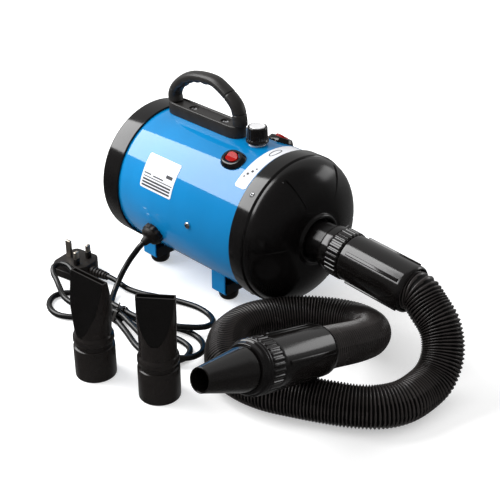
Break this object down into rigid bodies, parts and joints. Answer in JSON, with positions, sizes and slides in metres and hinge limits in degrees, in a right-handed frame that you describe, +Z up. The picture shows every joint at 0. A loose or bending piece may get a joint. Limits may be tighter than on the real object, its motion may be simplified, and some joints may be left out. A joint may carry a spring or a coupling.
{
  "type": "pet dryer",
  "caption": "Floor-standing blower for drying groomed animals, with carry handle, dial and rocker switches, flexible air hose, hand nozzle, loose flat nozzles and mains lead.",
  "frame": {"origin": "centre of the bounding rectangle of the rigid pieces, on the surface that the feet stand on", "axes": "+Z up, +X along the body axis towards the air outlet, +Y away from the loose nozzles"},
  "size_m": [0.5316, 0.3928, 0.256],
  "materials": {
    "blue_enamel": "gloss",
    "gloss_black": "gloss",
    "black_plastic": "satin",
    "nozzle_black": "satin",
    "knob_black": "satin",
    "knob_silver": "satin",
    "switch_red": "gloss",
    "screw_chrome": "polished",
    "scale_film": "satin",
    "label_paper": "satin",
    "foot_rubber": "matte",
    "lead_rubber": "satin",
    "tie_plastic": "satin",
    "plug_black": "satin",
    "pin_metal": "satin",
    "hose_rubber": "satin",
    "filter_grey": "matte",
    "control_grey": "satin",
    "motor_steel": "satin",
    "rotor_steel": "satin",
    "fan_plastic": "satin",
    "mica_board": "matte",
    "circuit_board": "satin"
  },
  "bodies": {
    "dryer": {"body_shell": "blue_enamel", "foot_bracket_front": "blue_enamel", "foot_bracket_rear": "blue_enamel", "rear_ring": "gloss_black", "front_ring": "gloss_black", "front_dome": "gloss_black", "outlet_tube": "black_plastic", "handle_base": "black_plastic", "handle_grip": "black_plastic", "switch_bezel_near": "black_plastic", "switch_bezel_far": "black_plastic", "machine_sleeve": "black_plastic", "hand_sleeve": "black_plastic", "hand_collar": "black_plastic", "knob_washer": "knob_silver", "ring_screw_1": "screw_chrome", "ring_screw_2": "screw_chrome", "ring_screw_3": "screw_chrome", "ring_screw_4": "screw_chrome", "side_screw_1": "screw_chrome", "side_screw_2": "screw_chrome", "handle_screw_1": "screw_chrome", "handle_screw_2": "screw_chrome", "scale_strip": "scale_film", "rating_label": "label_paper", "rubber_foot_1": "foot_rubber", "rubber_foot_2": "foot_rubber", "rubber_foot_3": "foot_rubber", "rubber_foot_4": "foot_rubber", "foot_saddle_front": "foot_rubber", "foot_saddle_rear": "foot_rubber", "cord_gland": "foot_rubber", "power_cord": "lead_rubber", "cord_tie": "tie_plastic", "plug_body": "plug_black", "plug_pin_earth": "pin_metal", "plug_pin_live": "pin_metal", "plug_pin_neutral": "pin_metal", "hose": "hose_rubber", "speed_control": "control_grey", "motor_can": "motor_steel", "heater_band": "motor_steel", "fan_shroud": "fan_plastic", "motor_mount": "fan_plastic", "heater_frame": "mica_board", "control_board": "circuit_board"},
    "speed_knob": {"speed_knob": "knob_black", "knob_cap": "knob_silver"},
    "near_rocker": {"rocker_near": "switch_red"},
    "far_rocker": {"rocker_far": "switch_red"},
    "rotor": {"motor_rotor": "rotor_steel", "impeller": "fan_plastic"},
    "machine_ring": {"machine_ring": "black_plastic"},
    "hand_ring": {"hand_ring": "black_plastic"},
    "cone_nozzle": {"cone_nozzle": "nozzle_black"},
    "intake_cover": {"intake_cover": "black_plastic", "filter_foam": "filter_grey"},
    "flat_nozzle_1": {"flat_nozzle_1": "nozzle_black"},
    "flat_nozzle_2": {"flat_nozzle_2": "nozzle_black"}
  },
  "joints": [
    {"name": "speed_knob_turn", "type": "hinge", "parent": "dryer", "child": "speed_knob", "pos_m": [-0.02449, 0.09404, 0.2], "axis": [0, 0, -1], "range_deg": [0, 270]},
    {"name": "near_switch_rock", "type": "hinge", "parent": "dryer", "child": "near_rocker", "pos_m": [-0.02449, 0.05371, 0.18719], "axis": [-1, 0, 0], "range_deg": [0, 18]},
    {"name": "far_switch_rock", "type": "hinge", "parent": "dryer", "child": "far_rocker", "pos_m": [-0.02449, 0.13437, 0.18719], "axis": [1, 0, 0], "range_deg": [0, 18]},
    {"name": "rotor_spin", "type": "hinge", "parent": "dryer", "child": "rotor", "pos_m": [-0.07949, 0.09404, 0.1045], "axis": [1, 0, 0], "continuous": true},
    {"name": "machine_ring_turn", "type": "hinge", "parent": "dryer", "child": "machine_ring", "pos_m": [0.08051, 0.09404, 0.1045], "axis": [0.9981, 0, -0.0611], "range_deg": [0, 60]},
    {"name": "hand_ring_turn", "type": "hinge", "parent": "dryer", "child": "hand_ring", "pos_m": [0.20091, -0.14596, 0.105], "axis": [-0.061, 0.9529, -0.297], "range_deg": [0, 60]},
    {"name": "cone_nozzle_pull", "type": "slide", "parent": "dryer", "child": "cone_nozzle", "axis": [0.061, -0.9529, 0.297], "range_m": [0, 0.05]},
    {"name": "intake_cover_pull", "type": "slide", "parent": "dryer", "child": "intake_cover", "axis": [-1, 0, 0], "range_m": [0, 0.04]},
    {"name": "flat_nozzle_1_lift", "type": "slide", "parent": "dryer", "child": "flat_nozzle_1", "axis": [0, 0, 1], "range_m": [0, 0.06]},
    {"name": "flat_nozzle_2_lift", "type": "slide", "parent": "dryer", "child": "flat_nozzle_2", "axis": [0, 0, 1], "range_m": [0, 0.06]}
  ]
}
